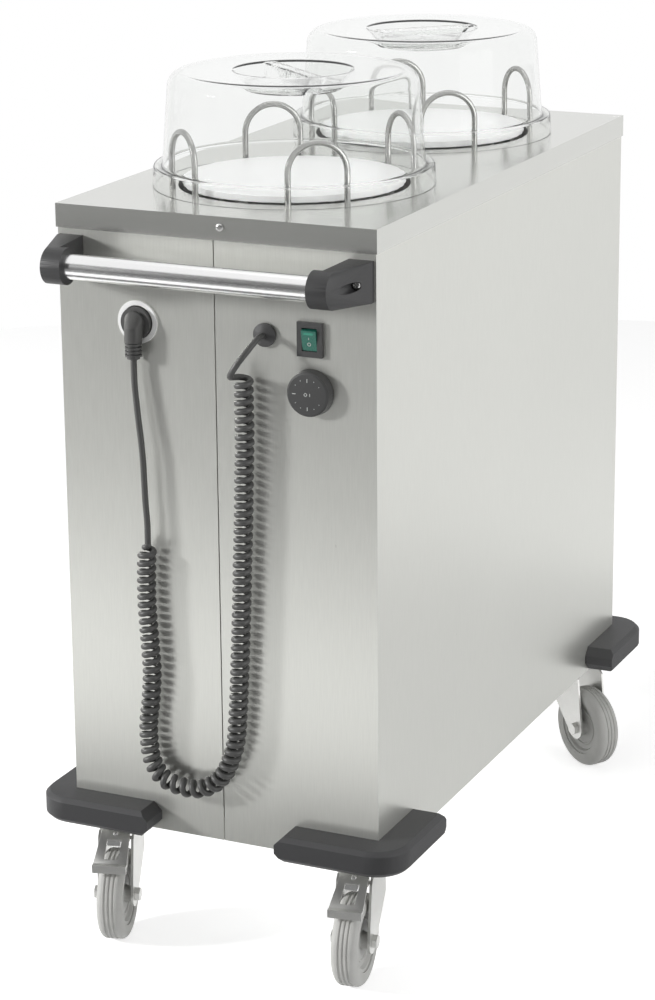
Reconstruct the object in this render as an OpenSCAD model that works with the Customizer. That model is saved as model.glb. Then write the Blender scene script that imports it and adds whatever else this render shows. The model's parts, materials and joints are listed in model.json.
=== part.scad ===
// Two-stack heated plate dispenser on castors, with lift-off clear domes.
// X runs right across the front, Y to the back, Z up; the origin is on the floor,
// in the middle of the footprint. Lengths are in millimetres.

/* [Cabinet] */
// Width of the casing across the front
body_w = 452; // [430:1:520]
// Length of the casing from front to back
body_l = 925; // [880:1:1100]
// Height of the casing's underside above the floor
body_z = 176; // [176:1:200]
// Height from the casing's underside to the top of the worktop
body_h = 854; // [820:1:900]
// Thickness of the casing and worktop sheet
sheet = 1.5; // [1:0.1:2]
// Gap between the two half casings at the seam
seam_gap = 1.4; // [0.3:0.1:2]
// Depth of the stiffening flange along the seam
seam_flange = 14; // [8:1:20]
// Height of the worktop's turned-down band
band_h = 31.4; // [25:0.1:38]
// Gap between the casing and the inside of the band
band_gap = 0.5; // [0.3:0.1:1]
// Thickness of the base tray
tray_t = 2; // [1.5:0.1:3]
// Height of the base tray's upturned edge
tray_edge = 30; // [20:1:40]

/* [Plate stacks] */
// Distance of a stack's axis from the nearer end of the casing
stack_end = 243; // [225:1:255]
// Radius of the round opening in the worktop
open_r = 156; // [150:0.5:158]
// Depth of the collar turned down round the opening
collar_h = 14; // [8:1:20]
// Wall of the well tube
well_t = 1; // [0.8:0.1:1.5]
// Thickness of the flange at the top of the well tube
flange_t = 4; // [3:0.5:6]
// Outer radius of that flange
flange_r = 180; // [178:1:186]
// Width of the four slots in the well tube
slot_w = 20; // [18:1:26]
// How far the platform sinks under a full stack
travel = 540; // [450:5:560]
// Radius of the platform disc
disc_r = 150; // [140:1:152]
// Thickness of the platform disc
disc_t = 9; // [6:1:12]
// Height of the disc's face above the worktop at the top stop
disc_rise = 10; // [9:1:20]
// Flutes round the disc's edge
flutes = 40; // [24:1:48]
// Depth of a flute
flute_d = 1.2; // [0.5:0.1:2]
// Height of the carriage below the disc
carriage_h = 180; // [150:5:200]

/* [Guide hoops] */
// Diameter of the hoop rod
rod_d = 8; // [6:0.5:8]
// Radius at which a hoop stands round the stack
hoop_r = 160; // [160:0.5:161]
// Half the distance between a hoop's legs
hoop_half = 39; // [34:1:40]
// Height of the hoop's crown above the worktop
hoop_h = 85; // [75:1:92]

/* [Domes] */
// Outer radius of the dome's foot
dome_r = 190; // [188:0.5:196]
// Overall height of the dome
dome_h = 153; // [145:1:170]
// Wall of the dome
dome_t = 3; // [2:0.5:3]
// Height of the dome's foot band
foot_h = 28; // [22:1:34]
// Radius of the wall just above the foot
wall_r = 176; // [176:0.5:180]
// How much the wall draws in up to the shoulder
wall_taper = 8; // [6:0.5:9]
// Radius of the shoulder
shoulder_r = 20; // [14:1:26]
// Radius of the round grip well in the top
grip_r = 78; // [70:1:84]
// Depth of the grip well
grip_d = 24; // [18:1:28]
// Width of the bar across the grip well
grip_bar = 22; // [18:1:28]
// Angle of the bar on the front dome
front_bar_turn = -41; // [-90:1:90]
// Angle of the bar on the rear dome
rear_bar_turn = 45; // [-90:1:90]

/* [Handle] */
// Diameter of the handle tube
handle_d = 33; // [28:1:34]
// Distance of the tube's axis from the front
handle_reach = 70; // [60:1:80]
// Height of the tube's axis below the worktop
handle_drop = 66; // [64:1:74]
// Distance from the centre to a cup's inner face
cup_x = 172; // [160:1:180]
// Length of a cup
cup_l = 28; // [24:1:34]
// Wall of the cup round the tube
cup_wall = 7.5; // [6:0.5:9]
// Distance of a bracket's screw from the casing's side
bracket_screw = 14; // [12:1:18]
// Thickness of a bracket under its screw's head
bracket_seat = 28; // [20:1:32]

/* [Bumpers] */
// How far a bumper stands out from the casing
bumper_t = 44; // [36:1:48]
// Height of a bumper
bumper_h = 36; // [32:1:42]
// Height of a bumper's underside above the casing's
bumper_up = 3; // [0:0.5:6]
// Length of a bumper along the front, from the casing's corner
bumper_x = 132; // [110:1:150]
// Length of a bumper along the side, from the casing's corner
bumper_y = 127; // [110:1:150]
// Radius of a bumper's outer corner
bumper_r = 48; // [48:1:60]
// Bevel along a bumper's outer edges
bumper_bevel = 6; // [3:0.5:9]
// Chamfer at a bumper's ends
bumper_cut = 12; // [5:1:14]

/* [Castors] */
// Wheel diameter
wheel_d = 125; // [110:1:125]
// Width of the tyre
tyre_w = 36; // [32:1:38]
// Radius of the wheel disc inside the tyre
rim_r = 43; // [38:1:46]
// Offset of the wheel behind the swivel axis
trail = 33; // [28:1:38]
// Distance of a swivel axis from the casing's side
castor_side = 44; // [44:1:60]
// Distance of a swivel axis from the casing's end
castor_end = 43; // [42:1:60]
// Size of the top plate across
plate_x = 84; // [80:1:84]
// Size of the top plate front to back
plate_y = 80; // [76:1:82]
// Thickness of the top plate
plate_t = 4; // [3:0.5:5]
// How each castor stands turned: front left, front right, rear left, rear right
castor_turn = [16, 8, -35, 56]; // [-180:1:180]

/* [Controls] */
// Height of the socket, gland and switch below the worktop
panel_drop = 148; // [140:1:165]
// Place of the parking socket across the front
socket_x = -111; // [-140:1:-100]
// Diameter of the socket's white bezel
bezel_d = 57; // [52:1:62]
// Place of the cable gland across the front
gland_x = 72; // [66:1:76]
// Diameter of the gland's nut
gland_d = 31; // [28:1:34]
// Place of the switch across the front
switch_x = 136; // [132:1:145]
// Width of the switch's frame
switch_w = 35; // [32:1:38]
// Height of the switch's frame
switch_h = 45; // [42:1:48]
// Place of the thermostat knob across the front
knob_x = 137; // [132:1:145]
// Height of the knob below the worktop
knob_drop = 217; // [215:1:225]
// Diameter of the knob
knob_d = 61; // [56:1:68]
// Depth of the knob
knob_t = 15; // [12:1:20]

/* [Cord] */
// Diameter of the cord
cord_d = 8.4; // [7:0.1:9]
// Radius of the curls, at the middle of the cord
curl_r = 8.8; // [7:0.1:9.5]
// Number of curls
curls = 84; // [60:1:85]

/* [Hidden] */

$fn = 72;
fit = 0.3;          // gap of a plain seat
run = 0.06;         // radial running clearance on shafts
bolt_gap = 0.2;     // radial clearance round bolts and rods
eps = 0.01;         // overshoot of a cut past a face

// Casing
half_w = body_w / 2;
top_z = body_z + body_h;
case_top = top_z - sheet;
panel_z = top_z - panel_drop;
knob_z = top_z - knob_drop;
over = band_gap + sheet;
cup_r = handle_d / 2 + cup_wall;
front_reach = handle_reach + cup_r;
mid_y = (body_l + bumper_t - front_reach) / 2;
bumper_z = body_z + bumper_up;
tray_top = body_z + tray_t;
stack_y = [stack_end, body_l - stack_end];

// Wells, platforms and springs
collar_r = open_r + sheet;
well_in = collar_r + fit;
well_out = well_in + well_t;
flange_z = case_top - flange_t;
arm_turns = [-2, 88, 178, 268];
hoop_turns = [-54, 50, 126, 230];
disc_z = top_z + disc_rise - disc_t;
spider_t = 6;
arm_w = slot_w - 6;
spider_z = disc_z - carriage_h;
spring_at = well_out + 10;
spring_od = 14;
spring_wire = 2;
stem_l = 18;
slot_low = spider_z - travel - fit;    // the arms stop on both ends of the slots
slot_high = spider_z + spider_t + fit;
post_r = 110;
post_d = 10;
leg_top = hoop_h - rod_d / 2 - hoop_half;
nut_t = 5;

// Heaters
heater_r = 100;
heater_d = 8.5;
heater_z = tray_top + 36;
heater_gap = 40;    // open angle of the ring

// Castors
axle_z = wheel_d / 2;
plate_z = body_z - plate_t;
crown_z = 149;
crown_t = 4;
race_t = 3;
head_low = crown_z + crown_t + race_t + fit;
fork_in = tyre_w / 2 + 3.5;
leg_t = 3.5;
fork_out = fork_in + leg_t;
king_r = 6;
axle_r = 5;
nut_af = 17;
pivot_y = -26;
pivot_z = 143;
pivot_r = 2.5;
hole_x = plate_x / 2 - 10;
hole_y = plate_y / 2 - 10;
bolt_r = 4;

// Controls
knob_gap = 1;
spindle_r = 3;
bush_r = 5;
socket_in = bezel_d / 2 - 6.5;
socket_depth = 16;
bezel_t = 3;
plug_r = socket_in - 1;
plug_axis = 15;     // distance of the plug's outlet from the front
plug_low = panel_z - 46;
plug_face = 9;
pin_at = 9.5;
pin_r = 2.4;
gland_t = 5;
gland_face = 8;
window_w = switch_w - 14;
window_h = switch_h - 15;
rocker_turn = 10;
thermo_w = 44;
thermo_h = 48;
thermo_t = 34;
spindle_in = 14;
bulb_x = well_out + 28;
bulb_y = stack_end + 70;
bulb_z = knob_z - 10;
capillary_r = 1.5;
bulb_r = 4;
bulb_l = 60;

// Cord: points chosen by hand; x from the middle of the front, y out from the front face,
// z from the height of the socket and the gland
coil_y = -20;
lead_route = [[-111, -15, -64], [-110, -16, -82], [-107.5, -17, -104], [-104.5, -18, -130], [-101, -19, -156],
    [-98.5, -20, -182], [-97.5, -20, -210], [-96.5, -20, -237], [-95, -20, -258], [-94.5, -20, -270]];
tail_route = [[72, -18, 0], [71.4, -26.4, -2], [69.4, -34, -6.6], [65.8, -40.4, -13], [61.4, -45, -20],
    [56.8, -48, -27], [52.2, -49.2, -34], [48, -49, -40.4], [44.6, -46.8, -45.4], [42.2, -42.4, -48.6],
    [41.2, -36.8, -50.4]];
axis_route = [[-94.5, -294], [-97, -320], [-98, -375], [-95, -430], [-93, -472], [-96, -514], [-100, -544],
    [-100, -572], [-96, -598], [-82, -620], [-57, -629], [-29, -629], [-6, -619], [12, -600], [23, -576],
    [30, -551], [33, -522], [35, -494], [38, -439], [42, -356], [44, -301], [46.5, -247], [48, -193],
    [50, -139], [50, -92], [50, -54]];
lead_points = concat([[socket_x, -plug_axis, plug_low]], [for (p = lead_route) p + [0, 0, panel_z]],
    [[-94.5, coil_y, panel_z - 282]]);
tail_points = concat([[gland_x, -gland_face, panel_z]], [for (p = tail_route) p + [0, 0, panel_z]],
    [[50 - curl_r, coil_y - cord_d, panel_z - 52.2]]);
coil_start = lead_points[len(lead_points) - 1];
coil_end = tail_points[len(tail_points) - 1];
axis_points = [for (p = axis_route) [p[0], p[1] + panel_z]];

module in_frame() translate([0, -mid_y, 0]) children();
module bar_y(r, l) rotate([-90, 0, 0]) cylinder(r = r, h = l);
module bar_x(r, l) rotate([0, 90, 0]) cylinder(r = r, h = l);
module box(low, high) translate(low) cube(high - low);

// ---------- casing ----------
module casing_half(side) {
    difference() {
        union() {
            difference() {
                box([side < 0 ? -half_w : seam_gap / 2, 0, body_z],
                    [side < 0 ? -seam_gap / 2 : half_w, body_l, case_top]);
                box([side < 0 ? -half_w + sheet : -1, sheet, body_z - 1],
                    [side < 0 ? 1 : half_w - sheet, body_l - sheet, top_z]);
            }
            for (y = [sheet - eps, body_l - sheet - seam_flange + eps])
                box([side < 0 ? -seam_gap / 2 - sheet : seam_gap / 2, y, tray_top + tray_edge],
                    [side < 0 ? -seam_gap / 2 : seam_gap / 2 + sheet, y + seam_flange, case_top - 20]);
        }
        if (side < 0) {
            translate([socket_x, -1, panel_z]) bar_y(socket_in + 2 + fit, 4);
        } else {
            translate([gland_x, -1, panel_z]) bar_y(gland_d / 2 - 6 + bolt_gap, 4);
            translate([knob_x, -1, knob_z]) bar_y(bush_r + bolt_gap, 4);
            box([switch_x - switch_w / 2 + 3 - fit, -1, panel_z - switch_h / 2 + 4 - fit],
                [switch_x + switch_w / 2 - 3 + fit, 3, panel_z + switch_h / 2 - 4 + fit]);
        }
        corner_screws(bolt_gap, false);
        band_and_bracket_screws(bolt_gap, false);
    }
}
module left_casing() color("gainsboro") in_frame() casing_half(-1);
module right_casing() color("gainsboro") in_frame() casing_half(1);

module base_tray() color("silver") in_frame() difference() {
    union() {
        difference() {
            box([-half_w + sheet, sheet, body_z], [half_w - sheet, body_l - sheet, tray_top + tray_edge]);
            box([-half_w + sheet + tray_t, sheet + tray_t, tray_top],
                [half_w - sheet - tray_t, body_l - sheet - tray_t, top_z]);
        }
        heater_lugs();
    }
    castor_bolt_set(bolt_gap, false);
    corner_screws(bolt_gap, false);
}

module worktop() color("whitesmoke") in_frame() difference() {
    union() {
        difference() {
            box([-half_w - over, -over, top_z - band_h], [half_w + over, body_l + over, top_z]);
            box([-half_w - band_gap, -band_gap, top_z - band_h - 1],
                [half_w + band_gap, body_l + band_gap, case_top]);
        }
        for (y = stack_y) translate([0, y, top_z - collar_h])
            cylinder(r = collar_r, h = collar_h - eps, $fn = 120);
    }
    for (y = stack_y) {
        translate([0, y, top_z - collar_h - 1]) cylinder(r = open_r, h = collar_h + 2, $fn = 120);
        translate([0, y, 0]) hoop_legs(bolt_gap, top_z - band_h, top_z + 1);
    }
    band_and_bracket_screws(bolt_gap, false);
}

// ---------- bumpers ----------
module bumper_section(reach) polygon([[0, 0], [reach - bumper_bevel, 0], [reach, bumper_bevel],
    [reach, bumper_h - bumper_bevel], [reach - bumper_bevel, bumper_h], [0, bumper_h]]);
module end_chamfer() rotate([0, 45, 0])
    cube([bumper_cut * sqrt(2), 4 * bumper_t, bumper_cut * sqrt(2)], center = true);
module bumper() difference() {
    corner = bumper_t - bumper_r;
    translate([0, 0, bumper_z]) union() {
        translate([-bumper_x, 0, 0]) rotate([90, 0, 90]) mirror([1, 0, 0])
            linear_extrude(bumper_x + corner) bumper_section(bumper_t);
        translate([0, bumper_y, 0]) rotate([90, 0, 0]) linear_extrude(bumper_y + corner) bumper_section(bumper_t);
        translate([corner, -corner, 0]) rotate(-90) rotate_extrude(angle = 90) bumper_section(bumper_r);
    }
    box([-bumper_x - 1, 0, bumper_z - 1], [0, bumper_y + 1, bumper_z + bumper_h + 1]);
    for (z = [bumper_z, bumper_z + bumper_h]) {
        translate([-bumper_x, -bumper_t, z]) end_chamfer();
        translate([bumper_t, bumper_y, z]) rotate(90) end_chamfer();
    }
}
// Puts a front right corner piece on corner (sx, sy)
module on_corner(sx, sy) translate([sx * half_w, sy < 0 ? 0 : body_l, 0])
    mirror([sx < 0 ? 1 : 0, 0, 0]) mirror([0, sy > 0 ? 1 : 0, 0]) children();
module bumper_at(sx, sy) color([0.3, 0.3, 0.3]) in_frame() difference() {
    on_corner(sx, sy) bumper();
    corner_screws(bolt_gap, false);
}
module corner_screws(gap, heads) for (sx = [-1, 1], sy = [-1, 1]) on_corner(sx, sy) {
    for (turn = [0, 90]) {
        along = turn == 0 ? -bumper_x * 0.6 : bumper_y * 0.6;
        at = turn == 0 ? [along, -12, bumper_z + bumper_h / 2] : [12, along, bumper_z + bumper_h / 2];
        translate(at) rotate(turn) {
            bar_y(3 + gap, 12 + sheet + tray_t + (heads ? 2 : 1));
            if (heads) translate([0, 12 + sheet + tray_t, 0]) bar_y(6, 3);
        }
    }
}
module bumper_screws() color("silver") in_frame() corner_screws(0, true);

// ---------- handle ----------
module handle_tube() color("silver") in_frame() translate([-cup_x - cup_l + 8, -handle_reach, top_z - handle_drop])
    difference() {
        bar_x(handle_d / 2, 2 * (cup_x + cup_l - 8));
        translate([-1, 0, 0]) bar_x(handle_d / 2 - 1.5, 2 * (cup_x + cup_l));
    }
module bracket(side) in_frame() mirror([side < 0 ? 1 : 0, 0, 0]) translate([0, 0, top_z - handle_drop])
difference() {
    union() {
        hull() {
            translate([half_w - 37, -8, -27]) cube([34, 8, 53]);
            translate([cup_x + 12, -handle_reach, 0]) bar_x(cup_r, cup_l - 12, $fn = 32);
        }
        translate([cup_x, -handle_reach, 0]) bar_x(cup_r, cup_l);
    }
    translate([cup_x - 1, -handle_reach, 0]) bar_x(handle_d / 2, cup_l - 7);
    translate([half_w - bracket_screw, -front_reach, 0]) bar_y(6.5, front_reach - bracket_seat);
    translate([half_w - bracket_screw, -bracket_seat - 1, 0]) bar_y(2.5 + bolt_gap, bracket_seat + 2);
}
module handle_bracket_left() color([0.28, 0.28, 0.28]) bracket(-1);
module handle_bracket_right() color([0.28, 0.28, 0.28]) bracket(1);

// Pan-head screws: one through each bracket, one at the middle of the band at each end
module pan_screw(gap, heads, head_y, l) {
    translate([0, head_y - 1, 0]) bar_y(2.5 + gap, l + 1);
    if (heads) translate([0, head_y - 3, 0]) bar_y(5, 3);
}
module band_and_bracket_screws(gap, heads) {
    for (side = [-1, 1]) translate([side * (half_w - bracket_screw), 0, top_z - handle_drop])
        pan_screw(gap, heads, -bracket_seat, bracket_seat + sheet + 8);
    for (turn = [0, 180]) translate([0, turn == 0 ? 0 : body_l, top_z - 14]) rotate(turn)
        translate([11, 0, 0]) pan_screw(gap, heads, -over, over + sheet + 8);
}
module case_screws() color("white") in_frame() band_and_bracket_screws(0, true);

// ---------- wells, hoops, springs ----------
module hoop_legs(gap, low, high) for (turn = hoop_turns) rotate(turn) for (s = [-1, 1])
    translate([hoop_r, s * hoop_half, low]) cylinder(r = rod_d / 2 + gap, h = high - low, $fn = 32);
module well(i) color("silver") in_frame() translate([0, stack_y[i], 0]) difference() {
    union() {
        translate([0, 0, tray_top]) cylinder(r = well_out, h = flange_z - tray_top + eps, $fn = 120);
        translate([0, 0, flange_z]) cylinder(r = flange_r, h = flange_t, $fn = 120);
    }
    translate([0, 0, tray_top - 1]) cylinder(r = well_in, h = body_h, $fn = 120);
    for (turn = arm_turns) rotate(turn) box([post_r, -slot_w / 2, slot_low], [flange_r + 9, slot_w / 2, slot_high]);
    hoop_legs(bolt_gap, flange_z - 1, top_z);
}
module hoops(i) color("silver") in_frame() translate([0, stack_y[i], 0]) for (turn = hoop_turns) rotate(turn)
    translate([hoop_r, 0, top_z]) {
        for (s = [-1, 1]) translate([0, s * hoop_half, 0]) {
            translate([0, 0, flange_z - top_z - nut_t - 2])
                cylinder(d = rod_d, h = leg_top + top_z - flange_z + nut_t + 2, $fn = 32);
            translate([0, 0, flange_z - top_z - nut_t]) cylinder(r = rod_d / 2 + 2, h = nut_t, $fn = 6);
        }
        translate([0, 0, leg_top]) rotate([90, 0, 90]) rotate_extrude(angle = 180)
            translate([hoop_half, 0]) circle(d = rod_d, $fn = 32);
    }
module springs(i) color("darkgray") in_frame() translate([0, stack_y[i], 0]) for (turn = arm_turns) rotate(turn)
    translate([spring_at, 0, 0]) {
        low = spider_z + spider_t;
        difference() {
            translate([0, 0, low + stem_l]) cylinder(d = spring_od, h = flange_z - low - 2 * stem_l, $fn = 24);
            translate([0, 0, low + stem_l + spring_wire])
                cylinder(d = spring_od - 2 * spring_wire, h = flange_z - low - 2 * stem_l - 2 * spring_wire, $fn = 24);
        }
        for (z = [low, flange_z - stem_l - eps]) translate([0, 0, z])
            cylinder(d = 2 * spring_wire, h = stem_l + eps, $fn = 16);
    }

// ---------- heaters ----------
module heater(i) color([0.45, 0.4, 0.38]) in_frame() translate([0, stack_y[i], heater_z]) {
    rotate(heater_gap / 2 - 90) rotate_extrude(angle = 360 - heater_gap, $fn = 96)
        translate([heater_r, 0]) circle(d = heater_d, $fn = 24);
    for (s = [-1, 1]) rotate(-90 + s * heater_gap / 2) translate([heater_r, 0, 0]) {
        sphere(d = heater_d, $fn = 24);
        translate([0, 0, tray_top - heater_z]) cylinder(d = heater_d, h = heater_z - tray_top, $fn = 24);
        translate([0, 0, tray_top - heater_z]) cylinder(d = heater_d + 8, h = 6, $fn = 6);
    }
}
// Lugs welded to the tray, which carry the rings
module heater_lugs() for (y = stack_y, turn = [30, 150]) translate([0, y, 0]) rotate(turn)
    translate([heater_r - 6, -4, tray_top - 1]) cube([12, 8, heater_z - heater_d / 2 - fit - tray_top + 1]);

// ---------- domes ----------
function arc(cx, cy, r, a0, a1, n = 8) =
    [for (i = [0 : n]) let (a = a0 + (a1 - a0) * i / n) [cx + r * cos(a), cy + r * sin(a)]];
top_r = wall_r - wall_taper - shoulder_r;
bowl_low = grip_r - grip_d;
// Outer outline from the foot over the shoulder and down into the grip well, set in by t
function dome_skin(t) = concat(
    [[dome_r - t, t < eps ? 0 : -1], [dome_r - 1.5 - t, foot_h - 3 - t], [dome_r - 4 - t, foot_h - t],
     [wall_r + 2 - t, foot_h - t], [wall_r - t, foot_h + 2]],
    arc(top_r, dome_h - shoulder_r, shoulder_r - t, 4, 90),
    arc(grip_r + 4, dome_h - 4, 4 - t, 90, 160, 4),
    arc(bowl_low, dome_h - grip_d + 10, 10 + t, -20, -90, 4),
    [[0, dome_h - grip_d - t]]);
module dome_solid(t) rotate_extrude($fn = 144)
    polygon(concat([[0, t < eps ? 0 : -1]], dome_skin(t)));
module dome(i, bar_turn) color([0.85, 0.9, 0.92, 0.35]) in_frame() translate([0, stack_y[i], top_z]) union() {
    difference() {
        dome_solid(0);
        dome_solid(dome_t);
    }
    rotate(bar_turn) intersection() {
        translate([0, 0, dome_h - grip_d - dome_t / 2]) cylinder(r1 = bowl_low, r2 = grip_r, h = grip_d + dome_t / 2 - 1);
        translate([-grip_r, -grip_bar / 2, dome_h - grip_d - dome_t / 2])
            cube([2 * grip_r, grip_bar, grip_d + dome_t / 2 - 1]);
    }
}

// ---------- platforms ----------
function flute_point(a) = (disc_r - flute_d * (1 - cos(a * flutes)) / 2) * [cos(a), sin(a)];
module disc(i) color("white") in_frame() translate([0, stack_y[i], disc_z])
    linear_extrude(disc_t) polygon([for (k = [0 : 4 * flutes - 1]) flute_point(360 * k / (4 * flutes))]);
module spider(reach) linear_extrude(spider_t) union() {
    circle(r = 24);
    for (turn = arm_turns) rotate(turn) translate([0, -arm_w / 2]) square([reach, arm_w]);
}
module carriage(i) color("silver") in_frame() translate([0, stack_y[i], 0]) {
    translate([0, 0, disc_z - spider_t]) spider(disc_r - 6);
    translate([0, 0, spider_z]) spider(spring_at + spring_od / 2);
    for (turn = arm_turns) rotate(turn) translate([post_r, 0, spider_z + 1])
        cylinder(d = post_d, h = carriage_h - 2, $fn = 24);
}

// ---------- controls ----------
module thermostat_body() color([0.75, 0.75, 0.72]) in_frame() translate([knob_x, 0, knob_z]) difference() {
    union() {
        translate([-thermo_w / 2, sheet, -thermo_h / 2]) cube([thermo_w, thermo_t, thermo_h]);
        translate([0, -0.5, 0]) bar_y(bush_r, sheet + 1);
    }
    translate([0, -1, 0]) bar_y(spindle_r + run, spindle_in + 3);
}
module thermostat_sensor() color("peru") in_frame() {
    out_y = sheet + thermo_t + 12;
    clip_z = bulb_z - 135;
    translate([knob_x, sheet + thermo_t, bulb_z]) bar_y(capillary_r, out_y - sheet - thermo_t);
    translate([knob_x, out_y, bulb_z]) sphere(r = capillary_r, $fn = 24);
    translate([knob_x, out_y, bulb_z]) bar_x(capillary_r, bulb_x - knob_x);
    translate([bulb_x, out_y, bulb_z]) sphere(r = capillary_r, $fn = 24);
    translate([bulb_x, out_y, bulb_z]) bar_y(capillary_r, bulb_y - out_y);
    translate([bulb_x, bulb_y, bulb_z]) sphere(r = capillary_r, $fn = 24);
    translate([bulb_x, bulb_y, bulb_z - 100]) cylinder(r = capillary_r, h = 100);
    translate([bulb_x, bulb_y, bulb_z - 100 - bulb_l]) cylinder(r = bulb_r, h = bulb_l);
    difference() {
        box([bulb_x - bulb_r - 2, bulb_y - 6, clip_z], [half_w - sheet, bulb_y + 6, clip_z + 10]);
        translate([bulb_x, bulb_y, clip_z - 1]) cylinder(r = bulb_r - eps, h = 12);
    }
}
module thermostat_knob() color([0.22, 0.22, 0.22]) in_frame() translate([knob_x, 0, knob_z]) rotate([90, 0, 0]) {
    translate([0, 0, knob_gap]) cylinder(d1 = knob_d, d2 = knob_d - 3, h = knob_t - 2);
    translate([0, 0, knob_gap + knob_t - 2 - eps]) cylinder(d1 = knob_d - 3, d2 = knob_d - 8, h = 2);
    translate([0, 0, -spindle_in]) cylinder(r = spindle_r, h = spindle_in + knob_gap + 1);
}
module switch_frame() color([0.2, 0.2, 0.2]) in_frame() translate([switch_x, 0, panel_z]) difference() {
    union() {
        translate([-switch_w / 2, -6, -switch_h / 2]) cube([switch_w, 6, switch_h]);
        translate([-switch_w / 2 + 3, -1, -switch_h / 2 + 4]) cube([switch_w - 6, 26, switch_h - 8]);
    }
    translate([-window_w / 2, -7, -window_h / 2]) cube([window_w, 20, window_h]);
    translate([-window_w / 2 - 3, -1, 0]) bar_x(1.5 + run, window_w + 6);
}
module switch_rocker() color([0.1, 0.45, 0.33]) in_frame() translate([switch_x, -1, panel_z])
rotate([rocker_turn, 0, 0]) {
    difference() {
        translate([-window_w / 2 + fit, -6, -window_h / 2 + 1.5]) cube([window_w - 2 * fit, 12, window_h - 3]);
        for (s = [-1, 1]) translate([-window_w, -6, 0]) rotate([s * 8, 0, 0])
            translate([0, -10, s < 0 ? -window_h : 0]) cube([2 * window_w, 10, window_h]);
    }
    translate([-window_w / 2 - 2.5, 0, 0]) bar_x(1.5, window_w + 5);
}
module parking_socket() color("white") in_frame() translate([socket_x, 0, panel_z]) difference() {
    union() {
        translate([0, -bezel_t, 0]) bar_y(bezel_d / 2, bezel_t);
        translate([0, -1, 0]) bar_y(socket_in + 2, socket_depth + 23);
    }
    translate([0, -4, 0]) bar_y(socket_in, socket_depth + 4);
    for (s = [-1, 1]) translate([s * pin_at, socket_depth - 1, 0]) bar_y(pin_r + bolt_gap, 21);
}
module cable_gland() color([0.22, 0.22, 0.22]) in_frame() translate([gland_x, 0, panel_z]) rotate([90, 0, 0])
difference() {
    union() {
        cylinder(d = gland_d, h = gland_t);
        translate([0, 0, gland_t - eps]) cylinder(d1 = gland_d - 2, d2 = cord_d + 7, h = gland_face - gland_t);
        translate([0, 0, -18]) cylinder(r = gland_d / 2 - 6, h = 19);
        translate([0, 0, -sheet - 6]) cylinder(d = gland_d, h = 6, $fn = 6);
    }
    translate([0, 0, -19]) cylinder(d = cord_d, h = 20);
}
module terminal_box() color([0.85, 0.85, 0.8]) in_frame() translate([gland_x - 30, sheet, panel_z - 95])
difference() {
    cube([60, 32, 46]);
    translate([30, 16, 40]) cylinder(d = cord_d, h = 7);
}
inner_points = [[gland_x, 18, panel_z], [gland_x, 26, panel_z - 1], [gland_x, 30, panel_z - 8],
    [gland_x, 28, panel_z - 20], [gland_x, 22, panel_z - 34], [gland_x, sheet + 16, panel_z - 45],
    [gland_x, sheet + 16, panel_z - 55]];
module inner_cable() color([0.25, 0.25, 0.25]) in_frame() sweep(inner_points, [1, 0, 0], 8);

// ---------- cord ----------
function unit(v) = v / norm(v);
function way(p, i) = i == 0 ? unit(p[1] - p[0]) : i == len(p) - 1 ? unit(p[i] - p[i - 1])
    : unit(unit(p[i + 1] - p[i]) + unit(p[i] - p[i - 1]));
function ring(c, t, e, r, n) = let (u = unit(e - (e * t) * t), v = cross(t, u))
    [for (k = [0 : n - 1]) c + r * (cos(360 * k / n) * u + sin(360 * k / n) * v)];
// Closes rings of n points into a tube with flat ends
module tube(rings, n) {
    m = len(rings);
    polyhedron(points = [for (r = rings) for (q = r) q],
        faces = concat(
            [for (i = [0 : m - 2], k = [0 : n - 1]) let (a = i * n + k, b = i * n + (k + 1) % n)
                each [[a, b, b + n], [a, b + n, a + n]]],
            [for (k = [1 : n - 2]) [0, k + 1, k]],
            [for (k = [1 : n - 2]) [(m - 1) * n, (m - 1) * n + k, (m - 1) * n + k + 1]]));
}
module sweep(p, side, n) tube([for (i = [0 : len(p) - 1]) ring(p[i], way(p, i), side, cord_d / 2, n)], n);
module cord_lead() color([0.3, 0.3, 0.3]) in_frame() sweep(lead_points, [0, 1, 0], 10);
module cord_tail() color([0.3, 0.3, 0.3]) in_frame() sweep(tail_points, [1, 0, 0], 10);

// The coil's axis: a smooth curve through axis_points, then the curls wound round it by length
axis_last = len(axis_points) - 1;
axis_all = concat([[coil_start[0], coil_start[2]]], axis_points,
    [2 * axis_points[axis_last] - axis_points[axis_last - 1]]);
function bow(a, b, c, d, t) = 0.5 * (2 * b + (c - a) * t + (2 * a - 5 * b + 4 * c - d) * t * t
    + (3 * b - a - 3 * c + d) * t * t * t);
axis_fine = [for (i = [1 : len(axis_all) - 3], k = [0 : 9])
    bow(axis_all[i - 1], axis_all[i], axis_all[i + 1], axis_all[i + 2], k / 10)];
axis_run = concat(axis_fine, [axis_all[len(axis_all) - 2]]);
steps = len(axis_run) - 1;
lengths = [for (i = 0, s = 0; i <= steps;
    s = s + (i < steps ? norm(axis_run[i + 1] - axis_run[i]) : 0), i = i + 1) s];
x_table = [for (i = [0 : steps]) [lengths[i], axis_run[i][0]]];
z_table = [for (i = [0 : steps]) [lengths[i], axis_run[i][1]]];
axis_l = lengths[steps];
rings_a_curl = 8;
curl_steps = curls * rings_a_curl;
bend_open = 0.25;   // how much wider the curls stand where the coil turns
function axis_at(s) = [lookup(s, x_table), coil_y, lookup(s, z_table)];
function axis_way(s) = unit(axis_at(min(s + 2, axis_l)) - axis_at(max(s - 2, 0)));
opened = [for (i = [0 : steps]) 1 - bend_open * (1 - pow(axis_way(lengths[i])[2], 2))];
wound = [for (i = 0, w = 0; i <= steps;
    w = w + (i < steps ? opened[i] * (lengths[i + 1] - lengths[i]) : 0), i = i + 1) w];
wind_table = [for (i = [0 : steps]) [wound[i] / wound[steps], lengths[i]]];
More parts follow.
